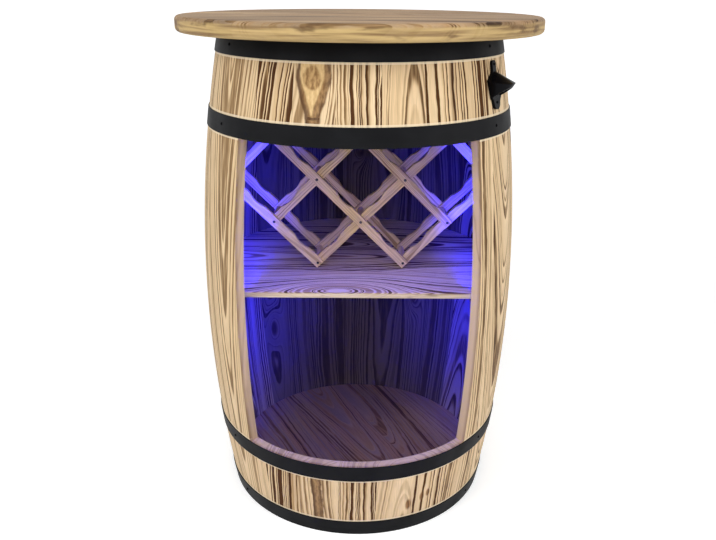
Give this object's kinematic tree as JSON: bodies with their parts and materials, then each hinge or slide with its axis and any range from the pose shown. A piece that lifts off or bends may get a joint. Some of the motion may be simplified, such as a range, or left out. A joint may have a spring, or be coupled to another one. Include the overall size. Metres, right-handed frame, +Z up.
{
  "type": "barrel bar cabinet",
  "caption": "Stave barrel with a round tabletop, an open lit front, a shelf, a folding wine rack and a wall bottle opener.",
  "frame": {"origin": "on the ground, on the axis of the barrel", "axes": "+Z up along the barrel axis, the open front faces -Y, +X to the right seen from the front"},
  "size_m": [0.5399, 0.54, 0.77],
  "materials": {
    "pine_staves": "brushed and flamed pine, dark grain lines, satin",
    "pine_tabletop": "flamed glued pine boards, satin lacquer",
    "pine_boards": "flamed pine, satin",
    "cleat_wood": "planed pine, matt",
    "slat_wood": "planed pine, matt",
    "dowel_wood": "turned beech, matt",
    "hoop_paint": "satin black",
    "black_screw_paint": "satin black",
    "nail_steel": "dark oxidised",
    "screw_zinc": "yellow zinc plated",
    "led_tape": "white flexible strip with light-emitting packages",
    "controller_plastic": "white moulded",
    "grommet_rubber": "matt black",
    "opener_iron": "black, satin"
  },
  "bodies": {
    "cabinet": {"black_screws": "black_screw_paint", "bottle_opener": "opener_iron", "cable_grommet": "grommet_rubber", "floor_head": "pine_boards", "hoop_bottom": "hoop_paint", "hoop_lower": "hoop_paint", "hoop_top": "hoop_paint", "hoop_upper": "hoop_paint", "jamb_stave_04": "pine_staves", "jamb_stave_22": "pine_staves", "led_controller": "controller_plastic", "led_strip": "led_tape", "shelf": "pine_boards", "shelf_cleats": "cleat_wood", "short_stave_lower_01": "pine_staves", "short_stave_lower_02": "pine_staves", "short_stave_lower_03": "pine_staves", "short_stave_lower_23": "pine_staves", "short_stave_lower_24": "pine_staves", "short_stave_upper_01": "pine_staves", "short_stave_upper_02": "pine_staves", "short_stave_upper_03": "pine_staves", "short_stave_upper_23": "pine_staves", "short_stave_upper_24": "pine_staves", "stave_05": "pine_staves", "stave_06": "pine_staves", "stave_07": "pine_staves", "stave_08": "pine_staves", "stave_09": "pine_staves", "stave_10": "pine_staves", "stave_11": "pine_staves", "stave_12": "pine_staves", "stave_13": "pine_staves", "stave_14": "pine_staves", "stave_15": "pine_staves", "stave_16": "pine_staves", "stave_17": "pine_staves", "stave_18": "pine_staves", "stave_19": "pine_staves", "stave_20": "pine_staves", "stave_21": "pine_staves", "tabletop": "pine_tabletop", "top_head": "pine_boards", "wood_screws": "screw_zinc"},
    "rack_down_1": {"rack_down_slats_1": "slat_wood"},
    "rack_up_1": {"rack_up_slats_1": "slat_wood", "rack_dowels_1": "dowel_wood", "rack_nails_1": "nail_steel"},
    "rack_down_2": {"rack_down_slats_2": "slat_wood"},
    "rack_up_2": {"rack_up_slats_2": "slat_wood", "rack_dowels_2": "dowel_wood", "rack_nails_2": "nail_steel"},
    "rack_down_3": {"rack_down_slats_3": "slat_wood"},
    "rack_up_3": {"rack_up_slats_3": "slat_wood", "rack_dowels_3": "dowel_wood", "rack_nails_3": "nail_steel"},
    "rack_down_4": {"rack_down_slats_4": "slat_wood"},
    "rack_up_4": {"rack_up_slats_4": "slat_wood", "rack_dowels_4": "dowel_wood", "rack_nails_4": "nail_steel"}
  },
  "joints": [
    {"name": "rack_fold", "type": "hinge", "parent": "cabinet", "child": "rack_down_1", "pos_m": [-0.06481, 0, 0.39229], "axis": [0, 1, 0], "range_deg": [0, 38]},
    {"name": "rack_foot", "type": "hinge", "parent": "cabinet", "child": "rack_up_3", "pos_m": [-0.06481, 0, 0.39229], "axis": [0, 1, 0], "range_deg": [-38, 0]},
    {"name": "cross_left_low", "type": "hinge", "parent": "rack_down_1", "child": "rack_up_2", "pos_m": [-0.13323, 0, 0.4607], "axis": [0, 1, 0], "range_deg": [-76, 0]},
    {"name": "cross_left_high", "type": "hinge", "parent": "rack_down_1", "child": "rack_up_1", "pos_m": [-0.20164, 0, 0.52911], "axis": [0, 1, 0], "range_deg": [-76, 0]},
    {"name": "cross_middle", "type": "hinge", "parent": "rack_up_3", "child": "rack_down_2", "pos_m": [0.0036, 0, 0.4607], "axis": [0, 1, 0], "range_deg": [0, 76]},
    {"name": "cross_right_middle", "type": "hinge", "parent": "rack_up_3", "child": "rack_down_3", "pos_m": [0.07201, 0, 0.52911], "axis": [0, 1, 0], "range_deg": [0, 76]},
    {"name": "cross_right_high", "type": "hinge", "parent": "rack_up_3", "child": "rack_down_4", "pos_m": [0.14043, 0, 0.59752], "axis": [0, 1, 0], "range_deg": [0, 76]},
    {"name": "cross_right_low", "type": "hinge", "parent": "rack_down_2", "child": "rack_up_4", "pos_m": [0.07201, 0, 0.39229], "axis": [0, 1, 0], "range_deg": [-76, 0]}
  ],
  "couplings": [
    {"joint": "rack_foot", "follows": "rack_fold", "ratio": -1},
    {"joint": "cross_left_low", "follows": "rack_fold", "ratio": -2},
    {"joint": "cross_left_high", "follows": "rack_fold", "ratio": -2},
    {"joint": "cross_middle", "follows": "rack_fold", "ratio": 2},
    {"joint": "cross_right_middle", "follows": "rack_fold", "ratio": 2},
    {"joint": "cross_right_high", "follows": "rack_fold", "ratio": 2},
    {"joint": "cross_right_low", "follows": "rack_fold", "ratio": -2}
  ]
}
